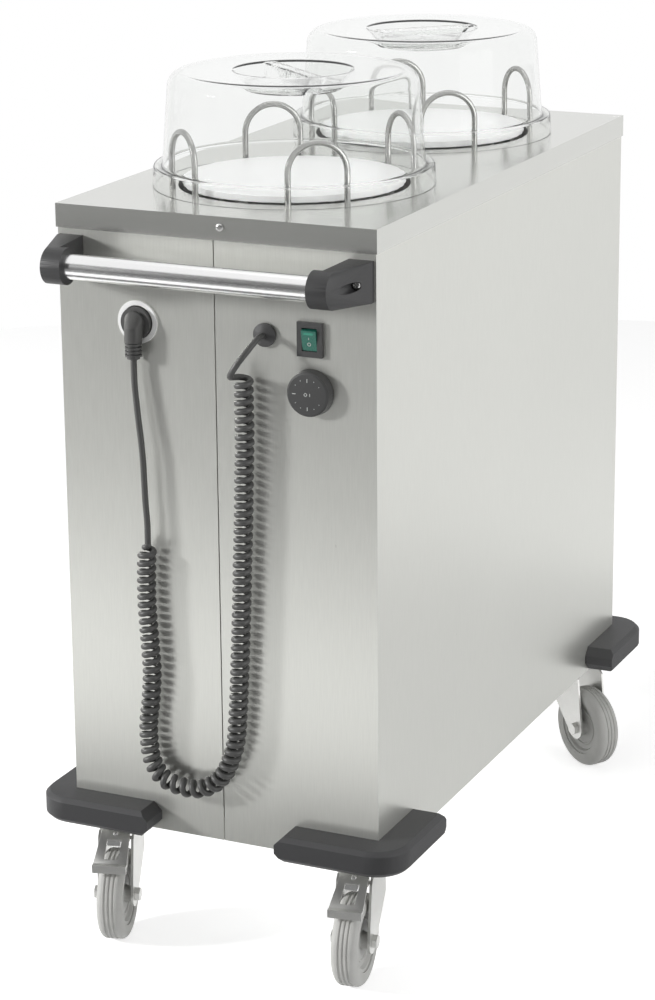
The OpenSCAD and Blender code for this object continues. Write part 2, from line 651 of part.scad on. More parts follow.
function run_at(i) = lookup(i / curl_steps, wind_table);
function ease(x) = let (t = max(0, min(1, x))) t * t * (3 - 2 * t);
function swell(i) = curl_r * ease(i / rings_a_curl);
function spoke(i) = let (t = axis_way(run_at(i)), side = cross(t, [0, 1, 0]), a = 360 * i / rings_a_curl)
    cos(a) * side - sin(a) * [0, 1, 0];
curl_points = concat([coil_start], [for (i = [0 : curl_steps]) axis_at(run_at(i)) + swell(i) * spoke(i)], [coil_end]);
curl_last = len(curl_points) - 1;
function curl_way(i) = i <= 1 ? unit(axis_at(0) - coil_start)
    : i >= curl_last - 1 ? unit(coil_end - curl_points[curl_last - 1]) : way(curl_points, i);
function curl_spoke(i) = spoke(max(0, min(curl_steps, i - 1)));
module cord_coil() color([0.3, 0.3, 0.3]) in_frame() tube([for (i = [0 : curl_last])
    ring(curl_points[i], curl_way(i), curl_spoke(i), cord_d / 2, 6)], 6);
// Least gap of the coil to itself, between points more than half a curl apart along it
curl_gap = min([for (i = [0 : curl_last - 5])
    min([for (j = [i + 5 : min(i + 12, curl_last)]) norm(curl_points[i] - curl_points[j])])]) - cord_d;
echo(least_curl_gap = curl_gap, coil_axis = axis_l);

module power_plug() color([0.3, 0.3, 0.3]) in_frame() translate([socket_x, 0, 0]) {
    translate([0, -4, panel_z]) bar_y(plug_r - 1, socket_depth + 4 - fit);
    for (s = [-1, 1]) translate([s * pin_at, socket_depth - fit - eps, panel_z]) bar_y(pin_r, 19);
    translate([0, -plug_face, panel_z]) bar_y(plug_r, plug_face - bezel_t - 0.5);
    hull() {
        translate([0, -plug_face - 5, panel_z + 3]) bar_y(plug_r - 8, 6, $fn = 32);
        translate([0, -plug_axis, panel_z - 24]) cylinder(r = plug_axis - bezel_t - 0.5, h = 20, $fn = 32);
    }
    translate([0, -plug_axis, plug_low]) cylinder(r = 8.5, h = 24);
    for (z = [5, 10, 15, 20]) translate([0, -plug_axis, plug_low + z - 1.5]) cylinder(r = 11, h = 2.6);
}

// ---------- castors ----------
// Index of a castor: 0 front left, 1 front right, 2 rear left, 3 rear right
function castor_at(i) =
    [(i % 2 == 0 ? -1 : 1) * (half_w - castor_side), i < 2 ? castor_end : body_l - castor_end, 0];
module on_castor(i) in_frame() translate(castor_at(i)) rotate(castor_turn[i]) children();
module castor_plates() color("silver") in_frame() for (i = [0 : 3]) translate(castor_at(i)) difference() {
    union() {
        translate([-plate_x / 2, -plate_y / 2, plate_z]) cube([plate_x, plate_y, plate_t]);
        translate([0, 0, head_low]) cylinder(r1 = 24, r2 = 29, h = plate_z - head_low + eps);
        translate([0, 0, crown_z - fit - 4]) cylinder(r = king_r, h = plate_z - crown_z + 4);
        translate([0, 0, crown_z - fit - 4]) cylinder(r = 11, h = 4);
    }
    for (sx = [-1, 1], sy = [-1, 1]) translate([sx * hole_x, sy * hole_y, plate_z - 1])
        cylinder(r = bolt_r + bolt_gap, h = plate_t + 2);
}
module castor_bolt_set(gap, heads) for (i = [0 : 3]) translate(castor_at(i)) for (sx = [-1, 1], sy = [-1, 1])
    translate([sx * hole_x, sy * hole_y, 0]) {
        translate([0, 0, plate_z - 1]) cylinder(r = bolt_r + gap, h = plate_t + tray_t + 9);
        if (heads) {
            translate([0, 0, plate_z - 5]) cylinder(r = 7.5, h = 5, $fn = 6);
            translate([0, 0, tray_top]) cylinder(r = 7.5, h = 6, $fn = 6);
        }
    }
module castor_bolts() color("silver") in_frame() castor_bolt_set(0, true);
module fork(i) color("silver") on_castor(i) difference() {
    union() {
        for (s = [0, 1]) mirror([s, 0, 0]) translate([fork_in, 0, 0]) rotate([90, 0, 90]) linear_extrude(leg_t) {
            polygon([[24, crown_z + crown_t], [31, crown_z - 9], [31, crown_z - 41], [-trail + 12, axle_z - 12],
                [-trail - 16.5, axle_z], [-37, crown_z - 4], [-29, crown_z + crown_t]]);
            translate([-trail, axle_z]) circle(r = 17);
        }
        translate([-fork_out, -20, crown_z]) cube([2 * fork_out, 48, crown_t]);
        translate([0, 0, crown_z + crown_t - eps]) cylinder(r = 23, h = race_t + eps);
        if (i < 2) translate([-fork_out + 1, pivot_y, pivot_z]) bar_x(pivot_r, 2 * fork_out - 2);
    }
    translate([0, 0, crown_z - 1]) cylinder(r = king_r + run, h = 12);
    translate([-fork_out - 1, -trail, axle_z]) bar_x(axle_r + run, 2 * fork_out + 2);
}
module axle(i) color("silver") on_castor(i) translate([0, -trail, axle_z]) {
    translate([-fork_out - 7, 0, 0]) bar_x(axle_r, 2 * fork_out + 14);
    for (s = [-1, 1]) translate([s * (fork_out + 3.5) - 3.5, 0, 0]) bar_x(nut_af / 2 / cos(30), 7, $fn = 6);
}
module wheel(i) color([0.62, 0.62, 0.6]) on_castor(i) translate([0, -trail, axle_z]) rotate([0, 90, 0]) difference() {
    union() {
        translate([0, 0, -tyre_w / 2 + 3]) cylinder(r = rim_r, h = tyre_w - 6);
        translate([0, 0, -fork_in + fit]) cylinder(r = 11, h = 2 * (fork_in - fit));
    }
    translate([0, 0, -fork_out]) cylinder(r = axle_r + run, h = 2 * fork_out);
    for (s = [-1, 1]) translate([0, 0, s * (tyre_w / 2 - 3)]) rotate_extrude()
        polygon([[14, -5], [rim_r - 5, -5], [rim_r - 3, 6], [14, 6]]);
}
module tyre(i) color([0.5, 0.5, 0.48]) on_castor(i) translate([0, -trail, axle_z]) rotate([0, 90, 0]) rotate_extrude($fn = 96)
    polygon(concat([[rim_r, -tyre_w / 2 + 1]], arc(axle_z - 10, -tyre_w / 2 + 10, 10, -90, -20, 5),
        [for (g = [-1, 0, 1]) each [[axle_z - (g == 0 ? 0 : 0.2), g * 6 - 1.6], [axle_z - 1.6, g * 6 - 0.8],
            [axle_z - 1.6, g * 6 + 0.8], [axle_z - (g == 0 ? 0 : 0.2), g * 6 + 1.6]]],
        arc(axle_z - 10, tyre_w / 2 - 10, 10, 20, 90, 5), [[rim_r, tyre_w / 2 - 1]]));
// Draws a side view, given as y and z, from x to x + w
module side_view(x, w) translate([x, 0, 0]) rotate([90, 0, 90]) linear_extrude(w) children();
module pedal(i) color([0.55, 0.55, 0.55]) on_castor(i) translate([0, pivot_y, pivot_z]) difference() {
    union() {
        intersection() {
            side_view(-40, 80) polygon([[-1.5, 15.5], [-1.5, 12.5], [-49.2, -21], [-54.5, -21], [-54.5, -30], [-57, -30],
                [-57, -18.5], [-50, -18.5]]);
            translate([0, 0, -40]) linear_extrude(80)
                polygon([[-20, 4], [20, 4], [20, -12], [23.5, -50], [23.5, -60], [-23.5, -60], [-23.5, -50], [-20, -12]]);
        }
        for (x = [-17, 14]) side_view(x, 3) {
            circle(r = 6);
            polygon([[-6, 0], [6, 0], [2, 15.5], [-6, 10]]);
        }
    }
    translate([-10, -44, -40]) cube([20, 26, 80]);
    translate([-fork_out, 0, 0]) bar_x(pivot_r + run, 2 * fork_out);
}

left_casing();
right_casing();
base_tray();
worktop();
bumper_at(-1, -1);  // bumper_front_left
bumper_at(1, -1);  // bumper_front_right
bumper_at(-1, 1);  // bumper_rear_left
bumper_at(1, 1);  // bumper_rear_right
handle_tube();
handle_bracket_left();
handle_bracket_right();
case_screws();
bumper_screws();
well(0);  // front_well
well(1);  // rear_well
hoops(0);  // front_hoops
hoops(1);  // rear_hoops
springs(0);  // front_springs
springs(1);  // rear_springs
heater(0);  // front_heater
heater(1);  // rear_heater
dome(0, front_bar_turn);  // front_dome
dome(1, rear_bar_turn);  // rear_dome
disc(0);  // front_disc
disc(1);  // rear_disc
carriage(0);  // front_carriage
carriage(1);  // rear_carriage
thermostat_body();
thermostat_sensor();
thermostat_knob();
switch_frame();
switch_rocker();
parking_socket();
cable_gland();
terminal_box();
inner_cable();
power_plug();
cord_lead();
cord_coil();
cord_tail();
castor_plates();
castor_bolts();
fork(0);  // fork_front_left
fork(1);  // fork_front_right
fork(2);  // fork_rear_left
fork(3);  // fork_rear_right
wheel(0);  // wheel_front_left
wheel(1);  // wheel_front_right
wheel(2);  // wheel_rear_left
wheel(3);  // wheel_rear_right
tyre(0);  // tyre_front_left
tyre(1);  // tyre_front_right
tyre(2);  // tyre_rear_left
tyre(3);  // tyre_rear_right
axle(0);  // axle_front_left
axle(1);  // axle_front_right
axle(2);  // axle_rear_left
axle(3);  // axle_rear_right
pedal(0);  // pedal_front_left
pedal(1);  // pedal_front_right
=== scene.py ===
import json
import math

import bmesh
import bpy
import numpy as np
from mathutils import Matrix, Vector


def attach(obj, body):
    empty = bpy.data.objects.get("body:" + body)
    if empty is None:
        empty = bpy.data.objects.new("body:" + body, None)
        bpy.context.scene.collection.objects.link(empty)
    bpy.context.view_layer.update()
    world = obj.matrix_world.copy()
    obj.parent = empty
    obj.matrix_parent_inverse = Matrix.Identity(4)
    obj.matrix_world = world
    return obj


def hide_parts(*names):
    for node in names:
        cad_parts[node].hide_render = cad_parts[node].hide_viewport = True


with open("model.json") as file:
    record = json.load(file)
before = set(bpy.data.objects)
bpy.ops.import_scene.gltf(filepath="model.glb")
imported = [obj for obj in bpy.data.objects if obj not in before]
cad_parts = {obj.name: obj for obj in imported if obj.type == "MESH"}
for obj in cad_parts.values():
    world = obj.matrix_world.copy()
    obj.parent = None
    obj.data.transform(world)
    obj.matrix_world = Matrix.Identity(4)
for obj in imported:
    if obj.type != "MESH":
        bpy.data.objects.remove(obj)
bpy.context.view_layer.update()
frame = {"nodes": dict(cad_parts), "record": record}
homeOf = {node: body for body, nodes in frame["record"]["behaviour"]["bodies"].items() for node in nodes}
midY = 437.5          # from the front panel to the origin, in mm
mm = 0.001
weld = 1e-6           # points nearer than this, in metres, become one
print("frame loaded")

# The camera: turned and tilted in degrees, its lens and its downward shift in picture points, its aim (y from the
# front panel), its distance from the aim and its steps to the right and up, in metres.
lens = {"azimuth": 24.787, "elevation": 15.396, "roll": -0.507, "focalPx": 2876.5, "shiftPx": 80.0,
        "aim": (0, 0.45, 0.5), "right": -0.0468, "up": 0.1422, "distance": 4.1743, "clipEnd": 50}
frameHigh = 1000      # the picture's height, in picture points
sensorWide = 36.0     # the sensor's long side, in mm
az, el, roll = (math.radians(lens[k]) for k in ("azimuth", "elevation", "roll"))
ahead = np.array([-math.sin(az) * math.cos(el), math.cos(az) * math.cos(el), -math.sin(el)])
side = np.cross(ahead, [0, 0, 1.0])
side /= np.linalg.norm(side)
above = np.cross(side, ahead)
side, above = math.cos(roll) * side + math.sin(roll) * above, math.cos(roll) * above - math.sin(roll) * side
spot = np.array(lens["aim"]) - [0, midY * mm, 0]
spot = spot - ahead * lens["distance"] + side * lens["right"] + above * lens["up"]
cameraData = bpy.data.cameras.new("camera")
camera = bpy.data.objects.new("camera", cameraData)
bpy.context.scene.collection.objects.link(camera)
cameraData.sensor_fit = "AUTO"
cameraData.sensor_width = sensorWide
cameraData.lens = lens["focalPx"] * sensorWide / frameHigh
cameraData.shift_y = -lens["shiftPx"] / frameHigh
cameraData.clip_end = lens["clipEnd"]
turned = np.eye(4)
turned[:3, 0], turned[:3, 1], turned[:3, 2], turned[:3, 3] = side, above, -ahead, spot
camera.matrix_world = Matrix(turned.tolist())
bpy.context.scene.camera = camera
print("camera set")


# Turns millimetres, with y from the front panel, into the frame's metres: (x, y - midY, z) / 1000.
def place(points):
    return (np.asarray(points, float) - [0, midY, 0]) * mm


# Makes an object of the mesh in one finish, on a body, and hides the nodes of the frame that it stands for.
def addPiece(name, mesh, body, material, hides=()):
    piece = bpy.data.objects.new(name, mesh)
    bpy.context.scene.collection.objects.link(piece)
    mesh.materials.clear()
    mesh.materials.append(material)
    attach(piece, body)
    if hides:
        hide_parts(*hides)
    return piece


# Makes a mesh of points and faces: near points become one, the faces turn outward, and edges that turn by more
# than the sharp angle, in degrees, are shaded sharp.
def finishMesh(name, points, faces, sharp):
    mesh = bpy.data.meshes.new(name)
    mesh.from_pydata(points.tolist(), [], faces)
    work = bmesh.new()
    work.from_mesh(mesh)
    bmesh.ops.remove_doubles(work, verts=work.verts, dist=weld)
    bmesh.ops.dissolve_degenerate(work, edges=work.edges, dist=weld)
    bmesh.ops.recalc_face_normals(work, faces=work.faces)
    work.to_mesh(mesh)
    work.free()
    mesh.shade_smooth()
    mesh.set_sharp_from_angle(angle=math.radians(sharp))
    return mesh


# Joins (i, j), (i, j+1), (i+1, j+1) and (i+1, j) of a grid of points into four-sided faces; each row closes on
# itself, and with wrapRows the last row joins the first.
def gridFaces(rows, cols, wrapRows=False, first=0):
    index = np.arange(rows * cols).reshape(rows, cols) + first
    low = np.concatenate([index, index[:1]]) if wrapRows else index
    wide = np.concatenate([low, low[:, :1]], axis=1)
    corners = [wide[:-1, :-1], wide[:-1, 1:], wide[1:, 1:], wide[1:, :-1]]
    return np.stack(corners, axis=-1).reshape(-1, 4).tolist()


# Turns a profile of (radius, height) round the z axis: x = r cos t, y = r sin t, z = h.
def ringPoints(profile, segments):
    profile = np.asarray(profile, float)
    angle = np.linspace(0, 2 * np.pi, segments, endpoint=False)
    r, h = profile[:, :1], profile[:, 1:2]
    return np.stack([r * np.cos(angle), r * np.sin(angle), h + 0 * angle], axis=-1)


# Puts points made round the z axis round another axis, with reach as its first direction, at centre.
def along(points, axis, reach, centre):
    axis = np.asarray(axis, float) / np.linalg.norm(axis)
    reach = np.asarray(reach, float) / np.linalg.norm(reach)
    return points @ np.stack([reach, np.cross(axis, reach), axis]) + np.asarray(centre, float)


# Points (cx + r cos t, cy + r sin t) of a circle from the angle start to the angle end.
def arc(cx, cy, r, start, end, count):
    t = np.radians(np.linspace(start, end, count + 1))
    return np.stack([cx + r * np.cos(t), cy + r * np.sin(t)], axis=1)


# Carries a circle along a path: path + radius (cos a first + sin a second). Each ring's first direction is the
# reference made square to the path, and the second is square to both.
def tubeMesh(name, path, sides, reference, radius):
    forward = np.gradient(path, axis=0)
    forward /= np.linalg.norm(forward, axis=1, keepdims=True)
    first = reference - forward * np.sum(reference * forward, axis=1, keepdims=True)
    first /= np.linalg.norm(first, axis=1, keepdims=True)
    second = np.cross(forward, first)
    angle = np.linspace(0, 2 * np.pi, sides, endpoint=False)
    grid = path[:, None, :] + radius * (np.cos(angle)[None, :, None] * first[:, None, :]
                                        + np.sin(angle)[None, :, None] * second[:, None, :])
    faces = gridFaces(len(path), sides)
    last = (len(path) - 1) * sides
    faces += [list(range(sides))[::-1], list(range(last, last + sides))]
    return finishMesh(name, grid.reshape(-1, 3), faces, 60)


# A smooth curve through the points: on each span a blend of four neighbours in powers of t.
def smoothRun(points, count):
    p = np.asarray(points, float)
    a, b, c, d = p[:-3], p[1:-2], p[2:-1], p[3:]
    t = (np.arange(count) / count)[None, :, None]
    a, b, c, d = (q[:, None, :] for q in (a, b, c, d))
    run = 0.5 * (2 * b + (c - a) * t + (2 * a - 5 * b + 4 * c - d) * t ** 2 + (3 * b - a - 3 * c + d) * t ** 3)
    return np.concatenate([run.reshape(-1, p.shape[1]), p[-2:-1]])


# A plain shader with its colour, roughness and metallic; other sockets go by name, with _ for a space.
def newMaterial(name, colour, roughness, metallic=0.0, **sockets):
    material = bpy.data.materials.new(name)
    material.use_nodes = True
    shader = material.node_tree.nodes["Principled BSDF"]
    shader.inputs["Base Color"].default_value = (*colour, 1)
    shader.inputs["Roughness"].default_value = roughness
    shader.inputs["Metallic"].default_value = metallic
    for key, value in sockets.items():
        shader.inputs[key.replace("_", " ")].default_value = value
    return material


# How fine each noise is, its middle value, and how deep a bump of strength 1 goes, in metres.
wear = {"grainDetail": 3, "blotchDetail": 4, "middle": 0.5, "bumpDeep": 0.001}


# Two noises on object coordinates, the stretched grain n and the blotch m, give out the colour times
# 1 + grain (n - 0.5) + blotch (m - 0.5), the roughness plus spread (n - 0.5), and a normal bumped by n.
def wornGroup():
    group = bpy.data.node_groups.new("grainAndWear", "ShaderNodeTree")
    inputs = {"Position": "Vector", "Colour": "Color", "Stretch": "Vector", "Grain Scale": "Float",
              "Grain": "Float", "Blotch Scale": "Float", "Blotch": "Float", "Roughness": "Float",
              "Rough Spread": "Float", "Bump": "Float"}
    outputs = {"Colour": "Color", "Roughness": "Float", "Normal": "Vector"}
    for way, sockets in (("INPUT", inputs), ("OUTPUT", outputs)):
        for name, kind in sockets.items():
            group.interface.new_socket(name, in_out=way, socket_type="NodeSocket" + kind)
    nodes, links = group.nodes, group.links
    given, out = nodes.new("NodeGroupInput"), nodes.new("NodeGroupOutput")

    # One maths node on a and b, each a number or the output of another node.
    def maths(kind, a, b):
        node = nodes.new("ShaderNodeMath")
        node.operation = kind
        for socket, value in zip(node.inputs, (a, b)):
            if isinstance(value, (int, float)):
                socket.default_value = value
            else:
                links.new(value, socket)
        return node.outputs[0]

    # The value of a noise from 0 to 1, read at a place with a scale.
    def noise(at, scale, detail):
        node = nodes.new("ShaderNodeTexNoise")
        node.inputs["Detail"].default_value = detail
        links.new(at, node.inputs["Vector"])
        links.new(scale, node.inputs["Scale"])
        return node.outputs["Fac"]

    stretched, tone = nodes.new("ShaderNodeVectorMath"), nodes.new("ShaderNodeVectorMath")
    stretched.operation, tone.operation = "MULTIPLY", "SCALE"
    links.new(given.outputs["Position"], stretched.inputs[0])
    links.new(given.outputs["Stretch"], stretched.inputs[1])
    grain = noise(stretched.outputs[0], given.outputs["Grain Scale"], wear["grainDetail"])
    blotch = noise(given.outputs["Position"], given.outputs["Blotch Scale"], wear["blotchDetail"])
    offGrain = maths("SUBTRACT", grain, wear["middle"])
    offBlotch = maths("SUBTRACT", blotch, wear["middle"])
    grainPart = maths("MULTIPLY", offGrain, given.outputs["Grain"])
    blotchPart = maths("MULTIPLY", offBlotch, given.outputs["Blotch"])
    shade = maths("ADD", maths("ADD", grainPart, blotchPart), 1.0)
    links.new(given.outputs["Colour"], tone.inputs[0])
    links.new(shade, tone.inputs["Scale"])
    links.new(tone.outputs[0], out.inputs["Colour"])
    spread = maths("MULTIPLY", offGrain, given.outputs["Rough Spread"])
    links.new(maths("ADD", spread, given.outputs["Roughness"]), out.inputs["Roughness"])
    bump = nodes.new("ShaderNodeBump")
    bump.inputs["Distance"].default_value = wear["bumpDeep"]
    links.new(given.outputs["Bump"], bump.inputs["Strength"])
    links.new(grain, bump.inputs["Height"])
    links.new(bump.outputs[0], out.inputs["Normal"])
    return group


grainAndWear = wornGroup()


# Puts the worn group before the shader's colour, roughness and normal; the stretch is a factor on x, y and z.
def finishWith(material, colour, roughness, stretch=(1, 1, 1), grainScale=900.0, grain=0.1, blotchScale=8.0,
               blotch=0.08, spread=0.1, bump=0.1):
    tree = material.node_tree
    shader = tree.nodes["Principled BSDF"]
    where = tree.nodes.new("ShaderNodeTexCoord")
    worn = tree.nodes.new("ShaderNodeGroup")
    worn.node_tree = grainAndWear
    for key, value in (("Colour", (*colour, 1)), ("Stretch", stretch), ("Grain Scale", grainScale),
                       ("Grain", grain), ("Blotch Scale", blotchScale), ("Blotch", blotch),
                       ("Roughness", roughness), ("Rough Spread", spread), ("Bump", bump)):
        worn.inputs[key].default_value = value
    tree.links.new(where.outputs["Object"], worn.inputs["Position"])
    tree.links.new(worn.outputs["Colour"], shader.inputs["Base Color"])
    tree.links.new(worn.outputs["Roughness"], shader.inputs["Roughness"])
    tree.links.new(worn.outputs["Normal"], shader.inputs["Normal"])
    return material


# A new material of one colour and roughness, with the worn group before it.
def solid(name, colour, roughness, metallic=0.0, **finish):
    return finishWith(newMaterial(name, colour, roughness, metallic), colour, roughness, **finish)


casingSteel = solid("casingSteel", (0.70, 0.705, 0.665), 0.31, 0.70, stretch=(1, 1, 0.05), grainScale=700,
                    grain=0.12, blotchScale=3, blotch=0.05, spread=0.12, bump=0.04)
worktopSteel = solid("worktopSteel", (0.66, 0.665, 0.635), 0.17, 0.8, stretch=(1, 0.02, 1), grainScale=900,
                     grain=0.05, blotchScale=4, blotch=0.04, spread=0.06, bump=0.02)
innerSteel = solid("innerSteel", (0.62, 0.62, 0.61), 0.38, 0.8, stretch=(1, 1, 0.05), grainScale=800,
                   grain=0.08)
zincSteel = solid("zincSteel", (0.66, 0.66, 0.64), 0.34, 0.8, grainScale=500, grain=0.12, blotchScale=40,
                  blotch=0.15, spread=0.2, bump=0.08)
polished = solid("polishedSteel", (0.86, 0.86, 0.86), 0.24, 1.0, stretch=(0.05, 1, 1), grainScale=900,
                 grain=0.04, spread=0.06, bump=0.02)
bumperRubber = solid("bumperRubber", (0.040, 0.040, 0.042), 0.55, grainScale=1500, grain=0.25,
                     blotchScale=25, blotch=0.15, spread=0.15, bump=0.25)
bracketPlastic = solid("bracketPlastic", (0.034, 0.034, 0.035), 0.48, grainScale=1800, grain=0.2, blotch=0.1,
                       bump=0.15)
blackPlastic = solid("blackPlastic", (0.058, 0.058, 0.058), 0.42, grainScale=2200, grain=0.15, bump=0.1)
whitePlastic = solid("whitePlastic", (0.95, 0.95, 0.94), 0.32, grainScale=600, grain=0.02, blotch=0.02,
                     spread=0.05, bump=0.02)
greenPlastic = solid("greenPlastic", (0.018, 0.135, 0.098), 0.28, grainScale=900, grain=0.08, bump=0.03)
markPaint = solid("markPaint", (0.55, 0.57, 0.55), 0.5, grainScale=1500, grain=0.08, bump=0.02)
tyreRubber = solid("tyreRubber", (0.54, 0.54, 0.52), 0.60, grainScale=1400, grain=0.25, blotchScale=35,
                   blotch=0.3, spread=0.15, bump=0.2)
hubPlastic = solid("hubPlastic", (0.52, 0.52, 0.50), 0.42, grainScale=1300, grain=0.12, blotchScale=30,
                   blotch=0.15, bump=0.1)
heaterSheath = solid("heaterSheath", (0.16, 0.14, 0.13), 0.55, 0.6, grainScale=700, grain=0.3, blotch=0.3)
brightScrew = solid("brightScrew", (0.80, 0.80, 0.79), 0.22, 0.9, grainScale=900, grain=0.06, bump=0.03)
brightZinc = solid("brightZinc", (0.85, 0.85, 0.84), 0.25, 0.7, grainScale=700, grain=0.08, bump=0.04)
hoopSteel = solid("hoopSteel", (0.40, 0.40, 0.39), 0.22, 0.95, stretch=(1, 1, 0.1), grainScale=900,
                  grain=0.08, bump=0.03)
discWhite = solid("discWhite", (0.93, 0.93, 0.93), 0.35, grainScale=500, grain=0.02, blotch=0.01,
                  spread=0.05, bump=0.02)
paleGreen = solid("paleGreen", (0.035, 0.26, 0.18), 0.25, grainScale=900, grain=0.05, bump=0.02)
copperTube = solid("copperTube", (0.72, 0.42, 0.28), 0.3, 1.0, grainScale=900, grain=0.1, blotch=0.2)
cordSheath = solid("cordSheath", (0.082, 0.082, 0.080), 0.45, grainScale=1600, grain=0.15, blotchScale=60,
                   blotch=0.1, bump=0.08)
# The domes' plastic: the IOR and the glow are set for the photograph's likeness, not the plastic's own; the glow
# is painted light, a faint white glow that lightens the walls.
clearColour, clearRough = (0.93, 0.935, 0.93), 0.03
clearPlastic = newMaterial("clearPlastic", clearColour, clearRough, 0.0, Transmission_Weight=1.0, IOR=1.14,
                           Specular_IOR_Level=1.0, Emission_Color=(1, 1, 1, 1), Emission_Strength=0.01)
finishWith(clearPlastic, clearColour, clearRough, grainScale=60, grain=0.01, blotch=0.01, spread=0.02,
           bump=0.0)
print("finishes made")

# The cord: sizes in mm, the share by which the curls open where the axis lies level, and how many points go on a
# span of each route; the three routes are the round points chosen for the part.
flex = {"diameter": 8.4, "curlRadius": 8.8, "curls": 84, "bendOpen": 0.25, "stepsPerCurl": 24, "sides": 12,
        "coilY": -20.0, "coilSpan": 10, "endSpan": 6, "headingReach": 2}
leadPoints = [[-111, -15, 836], [-111, -15, 818], [-110, -16, 800], [-107.5, -17, 778], [-104.5, -18, 752],
              [-101, -19, 726], [-98.5, -20, 700], [-97.5, -20, 672], [-96.5, -20, 645], [-95, -20, 624],
              [-94.5, -20, 612], [-94.5, -20, 600]]
tailPoints = [[72, -8, 882], [72, -18, 882], [71.4, -26.4, 880], [69.4, -34, 875.4], [65.8, -40.4, 869],
              [61.4, -45, 862], [56.8, -48, 855], [52.2, -49.2, 848], [48, -49, 841.6], [44.6, -46.8, 836.6],
              [42.2, -42.4, 833.4], [41.2, -36.8, 831.6], [41.2, -28.4, 829.8]]
axisPoints = [[-94.5, 588], [-97, 562], [-98, 507], [-95, 452], [-93, 410], [-96, 368], [-100, 338],
              [-100, 310], [-96, 284], [-82, 262], [-57, 253], [-29, 253], [-6, 263], [12, 282], [23, 306],
              [30, 331], [33, 360], [35, 388], [38, 443], [42, 526], [44, 581], [46.5, 635], [48, 689],
              [50, 743], [50, 790], [50, 828]]


# Rises from 0 to 1 as x does, level at both ends: x x (3 - 2 x).
def smoothStep(x):
    x = np.clip(x, 0, 1)
    return x * x * (3 - 2 * x)


# The same smooth curve, with a point beyond each end so that it reaches both.
def throughPoints(points, count):
    p = np.asarray(points, float)
    return smoothRun(np.concatenate([[2 * p[0] - p[1]], p, [2 * p[-1] - p[-2]]]), count)


# Curls round the coil's axis: axis + radius (cos a side - sin a out), a growing by one turn a curl, and more
# slowly where the axis turns; the radius grows from nothing over the first curl and stays to the end.
def coilPath():
    beyond = [2 * a - b for a, b in zip(axisPoints[-1], axisPoints[-2])]
    flat = smoothRun([leadPoints[-1][::2], *axisPoints, beyond], flex["coilSpan"])
    run = np.concatenate([[0], np.cumsum(np.linalg.norm(np.diff(flat, axis=0), axis=1))])
    span = run[-1]

    # The point of the axis at the distance s along it.
    def at(s):
        return np.stack([np.interp(s, run, flat[:, 0]), np.full(np.shape(s), flex["coilY"]),
                         np.interp(s, run, flat[:, 1])], axis=-1)

    # The axis's direction at s: from a little before it to a little after it, at length 1.
    def heading(s):
        step = at(np.minimum(s + flex["headingReach"], span)) - at(np.maximum(s - flex["headingReach"], 0))
        return step / np.linalg.norm(step, axis=-1, keepdims=True)

    opened = 1 - flex["bendOpen"] * (1 - heading(run)[:, 2] ** 2)
    wound = np.concatenate([[0], np.cumsum(opened[:-1] * np.diff(run))])
    turn = np.linspace(0, flex["curls"], flex["curls"] * flex["stepsPerCurl"] + 1)
    s = np.interp(turn / flex["curls"], wound / wound[-1], run)
    swell = flex["curlRadius"] * smoothStep(turn)
    out = np.array([0, 1.0, 0])
    sideways = np.cross(heading(s), out)
    spoke = np.cos(2 * np.pi * turn)[:, None] * sideways - np.sin(2 * np.pi * turn)[:, None] * out
    return at(s) + swell[:, None] * spoke, spoke


# One tube from the gland to the plug: the tail, the curls taken backwards, and the lead. Its length is the sum of
# the steps of its path.
def makeCord():
    curl, spoke = coilPath()
    tail = throughPoints(tailPoints, flex["endSpan"])
    lead = throughPoints(leadPoints, flex["endSpan"])
    path = np.concatenate([tail, curl[::-1], lead[::-1]])
    reference = np.concatenate([np.linspace([1.0, 0, 0], spoke[-1], len(tail)), spoke[::-1],
                                np.linspace(spoke[0], [0, 1.0, 0.01], len(lead))])
    path = place(path)
    mesh = tubeMesh("cord", path, flex["sides"], reference, flex["diameter"] / 2 * mm)
    cord = addPiece("cord", mesh, "cabinet", cordSheath,
                    ("cord_lead", "cord_coil", "cord_tail"))
    length = float(np.sum(np.linalg.norm(np.diff(path, axis=0), axis=1)))
    return cord, path, length


cord, cordPath, cordLength = makeCord()
print("cord made, length %.3f m" % cordLength)


# The clear domes, in mm; a bar crosses the round grip well in the top. Rounds are the radii of the bends at the
# foot, at the well's lip and at its bottom; the bar's top lies a drop below the dome's, and its sides lean over an
# edge each way.
dome = {"footR": 190.0, "footH": 28.0, "footRound": 3, "wallR": 176.0, "taper": 8.0, "shoulder": 20.0,
        "height": 153.0, "wall": 3.0, "gripR": 78.0, "gripD": 24.0, "lipRound": 4, "bowlRound": 10,
        "barHalf": 11.0, "barDrop": 0.6, "barEdge": 2, "barAbove": 60, "seatZ": 1030, "segments": 192}
# Each dome's centre, from the front panel in mm, and its bar's turn in degrees.
domePlaces = {"front_dome": (243, -41), "rear_dome": (682, 45)}


